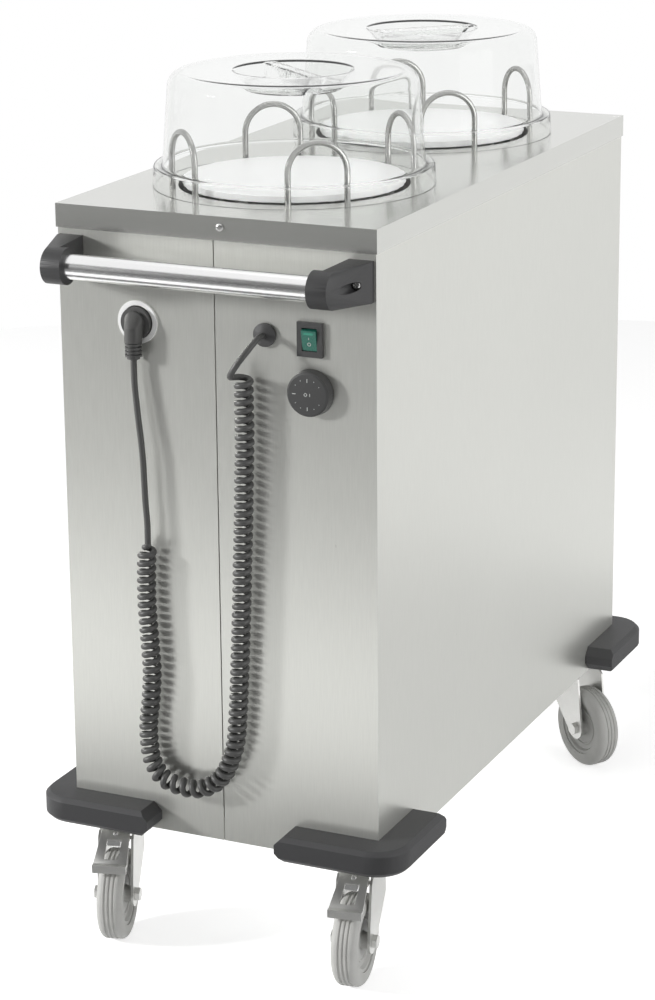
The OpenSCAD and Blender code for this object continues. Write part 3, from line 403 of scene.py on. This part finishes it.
# Radius and height from the foot, up the wall, over the shoulder and down into the grip well, set in by t.
def domeProfile(t):
    footR, footH, wallR, gripR, high = (dome[k] for k in ("footR", "footH", "wallR", "gripR", "height"))
    footRound, lipRound, bowlRound = (dome[k] for k in ("footRound", "lipRound", "bowlRound"))
    shoulder = dome["shoulder"]
    topR = wallR - dome["taper"] - shoulder
    bowl, bowlH = gripR - dome["gripD"], high - dome["gripD"]
    rows = [[[footR - t, 0], [footR - 0.8 - t, 12], [footR - 1.5 - t, footH - 4 - t]],
            arc(footR - 4.5, footH - footRound, max(footRound - t, 0.5), 5, 90, 5),
            [[wallR + 2.5 - t, footH - t], [wallR + 0.7 - t, footH + 0.8]],
            np.stack([np.linspace(wallR - t, topR + shoulder - t, 14),
                      np.linspace(footH + 3, high - shoulder, 14)], axis=1),
            arc(topR, high - shoulder, shoulder - t, 6, 90, 12),
            np.stack([np.linspace(topR - 4, gripR + 8, 12), np.full(12, high - t)], axis=1),
            arc(gripR + lipRound, high - lipRound, lipRound - t, 90, 156, 6),
            np.stack([np.linspace(gripR - 1.5, bowl + 11, 8),
                      np.linspace(high - 5 - t, bowlH + 5 - t * 0.6, 8)], axis=1),
            arc(bowl, bowlH + bowlRound, bowlRound + t, -22, -90, 6),
            np.stack([np.linspace(bowl - 2, 0, 22), np.full(22, bowlH - t)], axis=1)]
    return np.concatenate([np.asarray(r, float) for r in rows])


# The profile turned round; inside the grip well the height rises to the bar's top within the bar's half width of a
# line through the centre: z + (top - z) smooth((half + edge - |r sin(t - turn)|) / (2 edge)).
def makeDome(name, y, barTurn):
    outer, inner = domeProfile(0), domeProfile(dome["wall"])[::-1]
    grid = ringPoints(np.concatenate([outer, inner]), dome["segments"])
    r = np.hypot(grid[..., 0], grid[..., 1])
    t = np.arctan2(grid[..., 1], grid[..., 0]) - math.radians(barTurn)
    off = np.abs(r * np.sin(t))
    isInner = (np.arange(len(grid)) >= len(outer))[:, None]
    reachBar = dome["barHalf"] - isInner * dome["wall"]
    edge = dome["barEdge"]
    lift = smoothStep((reachBar + edge - off) / (2 * edge)) * (r < dome["gripR"] + dome["lipRound"])
    target = dome["height"] - dome["barDrop"] - isInner * dome["wall"]
    low = grid[..., 2]
    raised = low + (target - low) * lift * (low < target)
    grid[..., 2] = np.where(low > dome["barAbove"], raised, low)
    points = place(grid.reshape(-1, 3) + [0, y, dome["seatZ"]])
    mesh = finishMesh(name, points, gridFaces(len(grid), dome["segments"], wrapRows=True), 50)
    return addPiece(name, mesh, name, clearPlastic, (name,))


for name, (y, barTurn) in domePlaces.items():
    makeDome(name, y, barTurn)
print("domes made")

# The castors: x, y of the swivel in mm and how far each one stands turned, in degrees.
castors = {"front_left": (-182.0, 43.0, 16), "front_right": (182.0, 43.0, 8), "rear_left": (-182.0, 882.0, -35),
           "rear_right": (182.0, 882.0, 56)}
# The wheels, in mm: grooves along the tread, each with its half width and depth at the top and at the floor; the
# tyre's two beads, out from the rim and in from the side; half of the disc as (radius, distance along the axle).
wheel = {"radius": 62.5, "width": 36.0, "rim": 43.0, "trail": 33.0, "shoulder": 10, "grooves": (-6.0, 0.0, 6.0),
         "grooveTop": (1.8, 0.1), "grooveFloor": (1.0, 1.5), "beads": ((0, 1), (6, 0.2)), "segments": 96,
         "disc": ((5.1, 21), (10.8, 21), (11, 20.6), (11, 14), (13, 10.5), (26, 10.2), (27, 11.6), (29, 11.6),
                  (30, 10.2), (36, 10.5), (38.5, 14.5), (42.7, 15), (43, 14.7))}


# A castor's swivel point, its axle's direction (cos t, sin t) and the direction of its trail (sin t, -cos t).
def castorPlace(key):
    x, y, turn = castors[key]
    a = math.radians(turn)
    return np.array([x, y, 0]), np.array([math.cos(a), math.sin(a), 0]), np.array([math.sin(a), -math.cos(a), 0])


# Tyre and wheel as closed profiles of (radius, distance along the axle), turned round the axle.
def makeWheel(key):
    pivot, axle, trail = castorPlace(key)
    centre = pivot + trail * wheel["trail"] + [0, 0, wheel["radius"]]
    half, big, bend = wheel["width"] / 2, wheel["radius"], wheel["shoulder"]
    (topHalf, topDeep), (floorHalf, floorDeep) = wheel["grooveTop"], wheel["grooveFloor"]
    groove = [[[big - topDeep, g - topHalf], [big - floorDeep, g - floorHalf],
               [big - floorDeep, g + floorHalf], [big - topDeep, g + topHalf]] for g in wheel["grooves"]]
    nearBead = [[wheel["rim"] + out, -half + inward] for out, inward in wheel["beads"]]
    farBead = [[wheel["rim"] + out, half - inward] for out, inward in wheel["beads"][::-1]]
    tyre = np.concatenate([nearBead, arc(big - bend, -half + bend, bend, -90, -15, 8), *groove,
                           arc(big - bend, half - bend, bend, 15, 90, 8), farBead])
    halfDisc = np.array(wheel["disc"])
    disc = np.concatenate([halfDisc * [1, -1], halfDisc[::-1]])
    for name, profile, slotName, finish in (("tyre_" + key, tyre, "grey_tyre", tyreRubber),
                                            ("wheel_" + key, disc, "grey_hub", hubPlastic)):
        grid = along(ringPoints(profile, wheel["segments"]), axle, [0, 0, 1.0], centre)
        faces = gridFaces(len(profile), wheel["segments"], wrapRows=True)
        mesh = finishMesh(name, place(grid.reshape(-1, 3)), faces, 40)
        addPiece(name, mesh, "rolling_" + key, finish, (name,))


for key in castors:
    makeWheel(key)
print("wheels made")


# How a node's copy is merged: its points within a distance in metres become one, faces that turn by less than a
# flat angle are joined, and edges over a sharp one are shaded sharp, in degrees.
dressing = {"weld": 2e-6, "flat": 0.8, "sharp": 32}


# A merged copy of a node of the frame, its edges rounded by a bevel of a width in mm from an angle in degrees.
def rounded(node, material, width, angle, segments):
    mesh = frame["nodes"][node].data.copy()
    work = bmesh.new()
    work.from_mesh(mesh)
    bmesh.ops.remove_doubles(work, verts=work.verts, dist=dressing["weld"])
    bmesh.ops.dissolve_limit(work, angle_limit=math.radians(dressing["flat"]), verts=work.verts,
                             edges=work.edges)
    work.to_mesh(mesh)
    work.free()
    mesh.shade_smooth()
    mesh.set_sharp_from_angle(angle=math.radians(dressing["sharp"]))
    mesh.name = node
    piece = addPiece(node + "_dressed", mesh, homeOf[node], material, (node,))
    if width:
        bevel = piece.modifiers.new("edges", "BEVEL")
        bevel.width = width * mm
        bevel.segments = segments
        bevel.limit_method = "ANGLE"
        bevel.angle_limit = math.radians(angle)
        bevel.use_clamp_overlap = True
        bevel.harden_normals = True
    return piece


# Pan-head screws with a cross recess, in mm: the head's height is domed and sinks by the recess's depth
# where the nearer of |x|, |y| is under the slot's half width and the farther under its reach. The slot's sides and
# ends lean over the two edges, and the rings start a small share of the head's radius from its middle.
screw = {"headR": 5.0, "headH": 3.0, "domed": 0.42, "shaftR": 2.5, "reach": 2.9, "half": 0.55, "deep": 1.7,
         "sideEdge": 0.35, "endEdge": 0.4, "middle": 0.02, "rings": 36, "segments": 96}
# Where each screw's head sits (x, y, z), the way it faces and its length under the head.
screwPlaces = {"band_front": ((11, -2.0, 1016), (0, -1.0, 0), 11.5),
               "band_rear": ((-11, 927.0, 1016), (0, 1.0, 0), 11.5),
               "bracket_left": ((-212, -28.0, 964), (0, -1.0, 0), 37.5),
               "bracket_right": ((212, -28.0, 964), (0, -1.0, 0), 37.5)}


# The head is rings at r = headR times a share from 1 to nearly 0, with the height
# headH (1 - domed (r / headR)^4) - deep smooth(side) smooth(end).
def makeScrews():
    pointSets, faces, count, sides = [], [], 0, screw["segments"]
    spread = np.linspace(screw["middle"], 1, screw["rings"])[::-1]
    for seat, outward, long in screwPlaces.values():
        angle = np.linspace(0, 2 * np.pi, sides, endpoint=False)
        r = (screw["headR"] * spread)[:, None] + 0 * angle
        x, y = r * np.cos(angle), r * np.sin(angle)
        near, far = np.minimum(abs(x), abs(y)), np.maximum(abs(x), abs(y))
        sunk = (smoothStep((screw["half"] - near) / screw["sideEdge"] + 0.5)
                * smoothStep((screw["reach"] - far) / screw["endEdge"] + 0.5))
        high = screw["headH"] * (1 - screw["domed"] * (r / screw["headR"]) ** 4) - screw["deep"] * sunk
        head = np.stack([x, y, high], axis=-1)
        under = ringPoints([[screw["shaftR"], -long], [screw["shaftR"], 0], [screw["headR"], 0]], sides)
        grid = along(np.concatenate([under, head]), outward, [0, 0, 1.0], seat)
        pointSets.append(grid.reshape(-1, 3))
        faces += gridFaces(len(grid), sides, first=count)
        faces += [list(range(count, count + sides))[::-1],
                  list(range(count + (len(grid) - 1) * sides, count + len(grid) * sides))]
        count += len(grid) * sides
    mesh = finishMesh("case_screws", place(np.concatenate(pointSets)), faces, 30)
    addPiece("case_screws_dressed", mesh, "cabinet", brightScrew, ("case_screws",))


makeScrews()


markSides = {"bar": 24, "ring": 48}     # points round a flat bar's outline and round a ring


# Flat marks: each is (u, v, length, width, turn in degrees), or a ring (u, v, radius, width), stood up on a
# plane through centre with the directions right and up; thick is how far they stand out of it. A bar's outline is
# a circle of the lesser half size, pulled apart by the difference of the two.
def markMesh(name, bars, rings, centre, right, up, thick):
    right, up = np.asarray(right, float), np.asarray(up, float)
    outward = np.cross(right, up)
    sets, faces, count = [], [], 0
    sides, ringSides = markSides["bar"], markSides["ring"]
    for u, v, long, wide, turn in bars:
        t = np.radians(np.linspace(0, 360, sides, endpoint=False))
        half = max(long, wide) / 2 - min(long, wide) / 2
        cap = min(long, wide) / 2
        x, y = cap * np.cos(t) + half * np.sign(np.round(np.cos(t), 6)), cap * np.sin(t)
        a = math.radians(turn)
        flat = np.stack([u + x * math.cos(a) - y * math.sin(a), v + x * math.sin(a) + y * math.cos(a)], axis=1)
        for level in (0.0, thick):
            sets.append(np.asarray(centre) + flat[:, :1] * right + flat[:, 1:] * up + outward * level)
        faces += gridFaces(2, sides, first=count)
        faces += [list(range(count, count + sides))[::-1], list(range(count + sides, count + 2 * sides))]
        count += 2 * sides
    for u, v, radius, wide in rings:
        t = np.linspace(0, 2 * np.pi, ringSides, endpoint=False)
        outer, inner = radius + wide / 2, radius - wide / 2
        for r, level in ((outer, 0), (outer, thick), (inner, thick), (inner, 0)):
            flat = np.stack([u + r * np.cos(t), v + r * np.sin(t)], axis=1)
            sets.append(np.asarray(centre) + flat[:, :1] * right + flat[:, 1:] * up + outward * level)
        faces += gridFaces(4, ringSides, wrapRows=True, first=count)
        count += 4 * ringSides
    return finishMesh(name, place(np.concatenate(sets)), faces, 30)


# The knob's marks, in mm: its centre (x, z), ticks at three quarters with their length and width, dots between
# them at angles in degrees, and a small middle sign of a stroke and a ring; all sunk a little into the face.
dial = {"centre": (137, 813), "face": -16.0, "sunk": 0.05, "thick": 0.3, "tickAt": 18.5, "tick": (5.0, 0.9),
        "tickAngles": (90, 180, 270), "dotAt": 20.0, "dot": (1.1, 0.98),
        "dotAngles": (35, 62, 118, 145, 215, 242, 298, 325), "stroke": (3.6, 0, 4.0, 0.8, 90),
        "ring": (-2.4, 0, 1.9, 0.75)}


# Ticks and dots stand at (distance cos a, distance sin a) from the knob's centre.
def makeDial():
    (tick, wide), (dot, narrow) = dial["tick"], dial["dot"]
    bars = [(dial["tickAt"] * math.cos(a), dial["tickAt"] * math.sin(a), tick, wide, math.degrees(a))
            for a in np.radians(dial["tickAngles"])]
    bars += [(dial["dotAt"] * math.cos(a), dial["dotAt"] * math.sin(a), dot, dot * narrow, 0)
             for a in np.radians(dial["dotAngles"])]
    bars += [dial["stroke"]]
    x, z = dial["centre"]
    mesh = markMesh("dialMarks", bars, [dial["ring"]], (x, dial["face"] + dial["sunk"], z), (1, 0, 0), (0, 0, 1),
                    dial["thick"])
    addPiece("dialMarks", mesh, "knob", markPaint)


makeDial()

# The rocker's marks, in mm on its front face, which leans out at the top by the tilt in degrees: a pale bar, a
# stroke and a ring, with how far the bar and the others stand out.
rockerFace = {"pivot": (136, -1, 882), "tilt": 10.0, "front": 6.0, "sunk": 0.05, "thick": (0.35, 0.3),
              "bar": (0, 9.6, 14.0, 3.4, 0), "on": (0, 3.0, 3.0, 0.7, 90), "off": (0, -4.6, 2.1, 0.7)}


# The face's plane lies at pivot + front (0, -cos a, -sin a), and its way up is (0, -sin a, cos a).
def makeSwitchMarks():
    a = math.radians(rockerFace["tilt"])
    up = np.array([0, -math.sin(a), math.cos(a)])
    outward = np.array([0, -math.cos(a), -math.sin(a)])
    centre = np.array(rockerFace["pivot"]) + (rockerFace["front"] - rockerFace["sunk"]) * outward
    windowThick, markThick = rockerFace["thick"]
    window = markMesh("rockerWindow", [rockerFace["bar"]], [], centre, (1, 0, 0), up, windowThick)
    addPiece("rockerWindow", window, "rocker", paleGreen)
    marks = markMesh("rockerMarks", [rockerFace["on"]], [rockerFace["off"]], centre, (1, 0, 0), up, markThick)
    addPiece("rockerMarks", marks, "rocker", markPaint)


makeSwitchMarks()
print("screws and marks made")

# The brake pedals' small parts, in mm: a bright tongue (across, along, thick) in the upper third of the slot and a
# bolt head above it, both square to the pedal's slope in degrees; their places are (back along the trail, up).
brake = {"pivot": 26.0, "pivotZ": 143.0, "slope": 35.1, "tongue": (18.6, 9.0, 2.0), "tongueAt": (-22.5, 0.2),
         "tongueEdge": 0.5, "boltAt": (-10.0, 9.6), "boltR": 3.6, "boltH": 2.2, "boltMiddle": 0.01,
         "boltRoot": -1.0, "boltSides": 48}


# The tongue is a box on the directions axle, down the slope and outward; the bolt is a profile turned round
# the outward direction.
def makeBrakeParts(key):
    pivot, axle, trail = castorPlace(key)
    base = pivot + trail * brake["pivot"] + [0, 0, brake["pivotZ"]]
    a = math.radians(brake["slope"])
    down = trail * math.cos(a) + np.array([0, 0, -math.sin(a)])
    outward = trail * math.sin(a) + np.array([0, 0, math.cos(a)])
    y, z = brake["tongueAt"]
    centre = base - trail * y + [0, 0, z]
    wide, long, thick = brake["tongue"]
    corners = np.array([[i, j, k] for k in (-1, 1) for i, j in ((-1, -1), (1, -1), (1, 1), (-1, 1))]) / 2
    points = centre + corners[:, :1] * wide * axle + corners[:, 1:2] * long * down
    points = points + corners[:, 2:] * thick * outward
    boxFaces = [[3, 2, 1, 0], [4, 5, 6, 7], [0, 1, 5, 4], [1, 2, 6, 5], [2, 3, 7, 6], [3, 0, 4, 7]]
    tongue = finishMesh("tongue", place(points), boxFaces, 30)
    piece = addPiece("tongue_" + key, tongue, "brake_" + key, brightZinc)
    edges = piece.modifiers.new("edges", "BEVEL")
    edges.width, edges.segments = brake["tongueEdge"] * mm, 2
    y, z = brake["boltAt"]
    r, h, middle, root = brake["boltR"], brake["boltH"], brake["boltMiddle"], brake["boltRoot"]
    profile = [[middle, root], [r * 0.6, root], [r * 0.6, 0], [r, 0], [r, h * 0.55], [r * 0.85, h * 0.85],
               [r * 0.5, h], [middle, h]]
    grid = along(ringPoints(profile, brake["boltSides"]), outward, axle, base - trail * y + [0, 0, z])
    mesh = finishMesh("pedalBolt", place(grid.reshape(-1, 3)), gridFaces(len(profile), brake["boltSides"]), 40)
    addPiece("pedalBolt_" + key, mesh, "brake_" + key, brightZinc)


for key in ("front_left", "front_right"):
    makeBrakeParts(key)
print("brake parts made")

# Which nodes of the frame keep their shape, with what slot, finish, edge radius in mm, angle from which an edge
# counts and steps across the edge.
dressed = {("left_casing", "right_casing"): ("casing_steel", casingSteel, 0.5, 35, 2),
           ("worktop",): ("worktop_steel", worktopSteel, 0.6, 35, 2),
           ("bumper_front_left", "bumper_front_right", "bumper_rear_left", "bumper_rear_right"):
               ("bumper_rubber", bumperRubber, 1.6, 30, 3),
           ("handle_bracket_left", "handle_bracket_right"): ("bracket_plastic", bracketPlastic, 1.5, 35, 3),
           ("handle_tube",): ("polished_steel", polished, 0.3, 35, 2),
           ("front_hoops", "rear_hoops"): ("polished_steel", hoopSteel, 0, 35, 2),
           ("front_disc", "rear_disc"): ("white_plastic", discWhite, 1.0, 50, 3),
           ("parking_socket",): ("white_plastic", whitePlastic, 0.8, 40, 3),
           ("cable_gland", "switch_frame", "thermostat_knob"): ("black_plastic", blackPlastic, 0.8, 35, 3),
           ("switch_rocker",): ("green_plastic", greenPlastic, 0.6, 20, 3),
           ("power_plug",): ("cord_sheath", cordSheath, 0.4, 40, 2),
           ("castor_plates", "pedal_front_left", "pedal_front_right"): ("zinc", zincSteel, 0.5, 35, 2)}
for key in castors:
    dressed[("fork_" + key, "axle_" + key)] = ("zinc", zincSteel, 0.6, 35, 2)
for nodes, (slotName, finish, width, angle, segments) in dressed.items():
    for node in nodes:
        rounded(node, finish, width, angle, segments)
# These nodes keep the frame's own mesh and take a finish only.
plain = {"base_tray": innerSteel, "front_well": innerSteel, "rear_well": innerSteel, "front_springs": innerSteel,
         "rear_springs": innerSteel, "front_carriage": innerSteel, "rear_carriage": innerSteel,
         "bumper_screws": innerSteel, "front_heater": heaterSheath, "rear_heater": heaterSheath,
         "thermostat_body": blackPlastic, "thermostat_sensor": copperTube, "terminal_box": blackPlastic,
         "inner_cable": cordSheath, "castor_bolts": zincSteel}
for node, material in plain.items():
    owner = frame["nodes"][node]
    owner.data.materials.clear()
    owner.data.materials.append(material)
print("frame pieces dressed")

# The studio: the world's light on the object and as the camera and gloss see it; the floor's whiteness, roughness,
# size in metres, corners and glow.
studio = {"world": 0.22, "seen": 1.0, "floor": 0.82, "floorRough": 0.9, "floorReach": 3.4, "floorSides": 96,
          "floorGlow": 0.62}
# Each lamp's power, its place and aim in metres and its side in metres.
lamps = {"keyLamp": (270.0, (-4.3, -3.3, 2.1), (0, -0.4, 0.6), 0.7),
         "sideLamp": (56.0, (3.6, -0.6, 1.6), (0, 0, 0.6), 2.5),
         "topLamp": (14.0, (0.3, 0.3, 3.6), (0, 0, 1.0), 2.5)}
# Five cards that only gloss sees, each with its corners (x, x, y, y, z, z) in metres and its glow.
cards = {"wallCard": ((-4.0, 3.2, -2.9, -2.9, 0.05, 3.0), 0.05),
         "bandCard": ((-4.0, 3.2, -2.88, -2.88, 0.40, 0.66), 0.30),
         "farCard": ((-4.0, 3.2, -2.88, -1.95, 0.003, 0.003), 0.20),
         "floorCard": ((-2.5, 2.5, -1.02, -0.6, 0.002, 0.002), 0.08),
         "sideCard": ((0.25, 2.2, -0.6, 1.3, 0.002, 0.002), 0.78)}


# 1 for a ray from the camera, through clear plastic or off gloss, else 0: the greatest of the three.
def seenDirectly(tree):
    path = tree.nodes.new("ShaderNodeLightPath")
    first, second = tree.nodes.new("ShaderNodeMath"), tree.nodes.new("ShaderNodeMath")
    first.operation = second.operation = "MAXIMUM"
    tree.links.new(path.outputs["Is Camera Ray"], first.inputs[0])
    tree.links.new(path.outputs["Is Transmission Ray"], first.inputs[1])
    tree.links.new(first.outputs[0], second.inputs[0])
    tree.links.new(path.outputs["Is Glossy Ray"], second.inputs[1])
    return second.outputs[0]


# White where it is seen directly, and the world's own strength of light elsewhere.
def makeWorld():
    world = bpy.data.worlds.new("studio")
    bpy.context.scene.world = world
    world.use_nodes = True
    tree = world.node_tree
    tree.nodes.clear()
    plainLight, whiteLight = tree.nodes.new("ShaderNodeBackground"), tree.nodes.new("ShaderNodeBackground")
    for light, strength in ((plainLight, studio["world"]), (whiteLight, studio["seen"])):
        light.inputs["Color"].default_value = (1, 1, 1, 1)
        light.inputs["Strength"].default_value = strength
    mix, end = tree.nodes.new("ShaderNodeMixShader"), tree.nodes.new("ShaderNodeOutputWorld")
    tree.links.new(seenDirectly(tree), mix.inputs[0])
    tree.links.new(plainLight.outputs[0], mix.inputs[1])
    tree.links.new(whiteLight.outputs[0], mix.inputs[2])
    tree.links.new(mix.outputs[0], end.inputs[0])


# A round floor of (reach cos a, reach sin a), whose glow is added where it is seen directly.
def makeFloor():
    mesh = bpy.data.meshes.new("floor")
    reach, sides = studio["floorReach"], studio["floorSides"]
    rim = [(reach * math.cos(a), reach * math.sin(a), 0)
           for a in np.linspace(0, 2 * np.pi, sides, endpoint=False)]
    mesh.from_pydata(rim, [], [list(range(sides))])
    floor = bpy.data.objects.new("floor", mesh)
    bpy.context.scene.collection.objects.link(floor)
    paint = newMaterial("floorPaint", (studio["floor"],) * 3, studio["floorRough"])
    tree = paint.node_tree
    shader, end = tree.nodes["Principled BSDF"], tree.nodes["Material Output"]
    shader.inputs["Specular IOR Level"].default_value = 0.0
    glow, both, share = (tree.nodes.new("ShaderNode" + kind) for kind in ("Emission", "AddShader", "Math"))
    share.operation = "MULTIPLY"
    share.inputs[1].default_value = studio["floorGlow"]
    tree.links.new(seenDirectly(tree), share.inputs[0])
    tree.links.new(share.outputs[0], glow.inputs["Strength"])
    tree.links.new(shader.outputs[0], both.inputs[0])
    tree.links.new(glow.outputs[0], both.inputs[1])
    tree.links.new(both.outputs[0], end.inputs["Surface"])
    mesh.materials.append(paint)


# One four-sided glowing card from (x0, y0, z0) to (x1, y1, z1), hidden from all rays but gloss.
def makeCard(name, corners, shade):
    x0, x1, y0, y1, z0, z1 = corners
    points = [(x0, y0, z0), (x1, y0, z0), (x1, y1, z1), (x0, y1, z1)]
    mesh = bpy.data.meshes.new(name)
    mesh.from_pydata(points, [], [(0, 1, 2, 3)])
    card = bpy.data.objects.new(name, mesh)
    bpy.context.scene.collection.objects.link(card)
    card.visible_camera = card.visible_diffuse = card.visible_transmission = False
    card.visible_shadow = card.visible_volume_scatter = False
    paint = bpy.data.materials.new(name + "Paint")
    paint.use_nodes = True
    shader = paint.node_tree.nodes["Principled BSDF"]
    shader.inputs["Base Color"].default_value = (0, 0, 0, 1)
    shader.inputs["Specular IOR Level"].default_value = 0.0
    shader.inputs["Emission Color"].default_value = (1, 1, 1, 1)
    shader.inputs["Emission Strength"].default_value = shade
    mesh.materials.append(paint)


# A square lamp turned from its place towards its aim.
def softLamp(name, power, spot, aim, side):
    data = bpy.data.lights.new(name, "AREA")
    data.shape, data.size, data.size_y, data.energy = "RECTANGLE", side, side, power
    lamp = bpy.data.objects.new(name, data)
    lamp.location = spot
    lamp.rotation_mode = "QUATERNION"
    lamp.rotation_quaternion = (Vector(aim) - Vector(spot)).to_track_quat("-Z", "Y")
    bpy.context.scene.collection.objects.link(lamp)


makeWorld()
makeFloor()
for name, (corners, shade) in cards.items():
    makeCard(name, corners, shade)
for name, values in lamps.items():
    softLamp(name, *values)
bpy.context.scene.view_settings.view_transform = "Standard"
print("studio set")
